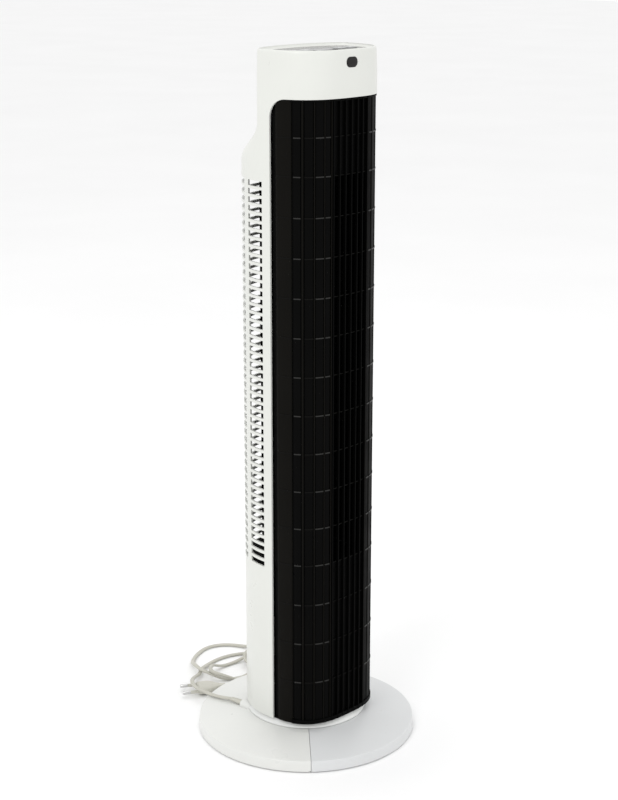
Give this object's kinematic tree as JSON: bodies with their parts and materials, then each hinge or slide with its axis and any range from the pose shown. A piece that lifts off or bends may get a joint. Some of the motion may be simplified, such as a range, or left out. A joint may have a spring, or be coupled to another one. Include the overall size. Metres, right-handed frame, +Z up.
{
  "type": "tower fan",
  "caption": "Slim tower fan in white with a dark ribbed front grille, louvred sides, a stepped-in head and a round swivelling base, its mains lead coiled behind.",
  "frame": {"origin": "on the floor at the centre of the round base, on the axis about which the tower swings", "axes": "+Z up along the tower; -Y is the tower's front as it stands at rest; +X to the right of someone who stands before the tower and looks at its front"},
  "size_m": [0.24, 0.348, 0.747],
  "materials": {
    "housing_white": "satin gloss, slightly warm white",
    "base_white": "satin gloss with fine handling scratches",
    "grille_black": "satin black",
    "panel_grey": "smooth satin grey-brown",
    "lens_dark": "smoked gloss black",
    "button_grey": "fine matte",
    "collar_grey": "fine matte light grey",
    "nylon_natural": "natural nylon",
    "rubber_black": "matte",
    "board_green": "solder mask",
    "cord_ivory": "smooth satin sheath",
    "motor_steel": "semi-matte dark metal",
    "steel_bright": "plated, semi-gloss"
  },
  "bodies": {
    "base": {"base_left": "base_white", "base_right": "base_white", "clamp_ring": "collar_grey", "clamp_screw_1": "steel_bright", "clamp_screw_2": "steel_bright", "clamp_screw_3": "steel_bright", "clamp_screw_4": "steel_bright", "cord_coil": "cord_ivory", "cord_gland": "cord_ivory", "cord_lead": "cord_ivory", "cord_tail": "cord_ivory", "fixed_gear": "nylon_natural", "foot_1": "rubber_black", "foot_2": "rubber_black", "foot_3": "rubber_black", "foot_4": "rubber_black", "gear_screw_1": "steel_bright", "gear_screw_2": "steel_bright", "gear_screw_3": "steel_bright", "plug_body": "cord_ivory", "plug_pin_1": "steel_bright", "plug_pin_2": "steel_bright", "slide_ring": "nylon_natural", "turntable_collar": "collar_grey"},
    "tower": {"blower_plate_lower": "grille_black", "blower_plate_upper": "grille_black", "bottom_plate": "collar_grey", "control_board": "board_green", "display_lens": "lens_dark", "front_grille": "grille_black", "front_housing": "housing_white", "infrared_receiver": "lens_dark", "motor_bracket": "motor_steel", "motor_can": "motor_steel", "motor_capacitor": "grille_black", "motor_grommet_1": "rubber_black", "motor_grommet_2": "rubber_black", "motor_grommet_3": "rubber_black", "motor_screw_1": "steel_bright", "motor_screw_2": "steel_bright", "motor_screw_3": "steel_bright", "rear_housing": "housing_white", "scroll_wall": "grille_black", "sensor_window": "lens_dark", "swing_bracket": "steel_bright", "swing_motor": "motor_steel", "swing_screw_1": "steel_bright", "swing_screw_2": "steel_bright", "top_panel": "panel_grey", "upper_bush": "nylon_natural", "vortex_tongue": "grille_black"},
    "impeller": {"impeller": "grille_black", "motor_shaft": "steel_bright", "top_pin": "steel_bright"},
    "swing_pinion": {"swing_pinion": "nylon_natural"},
    "button_power": {"button_power": "button_grey"},
    "button_speed": {"button_speed": "button_grey"},
    "button_swing": {"button_swing": "button_grey"},
    "button_timer": {"button_timer": "button_grey"}
  },
  "joints": [
    {"name": "oscillation", "type": "hinge", "parent": "base", "child": "tower", "pos_m": [0, 0, 0.03], "axis": [0, 0, 1], "range_deg": [-86, 0]},
    {"name": "impeller_spin", "type": "hinge", "parent": "tower", "child": "impeller", "pos_m": [0, 0.012, 0.4], "axis": [0, 0, 1], "continuous": true},
    {"name": "pinion_spin", "type": "hinge", "parent": "tower", "child": "swing_pinion", "pos_m": [0, 0.0334, 0.04], "axis": [0, 0, 1], "range_deg": [-229.5, 0]},
    {"name": "power_press", "type": "slide", "parent": "tower", "child": "button_power", "axis": [0, 0, -1], "range_m": [0, 0.001], "stiffness_N_per_m": 400},
    {"name": "speed_press", "type": "slide", "parent": "tower", "child": "button_speed", "axis": [0, 0, -1], "range_m": [0, 0.001], "stiffness_N_per_m": 400},
    {"name": "swing_press", "type": "slide", "parent": "tower", "child": "button_swing", "axis": [0, 0, -1], "range_m": [0, 0.001], "stiffness_N_per_m": 400},
    {"name": "timer_press", "type": "slide", "parent": "tower", "child": "button_timer", "axis": [0, 0, -1], "range_m": [0, 0.001], "stiffness_N_per_m": 400}
  ],
  "couplings": [
    {"joint": "pinion_spin", "follows": "oscillation", "ratio": 2.6667}
  ]
}
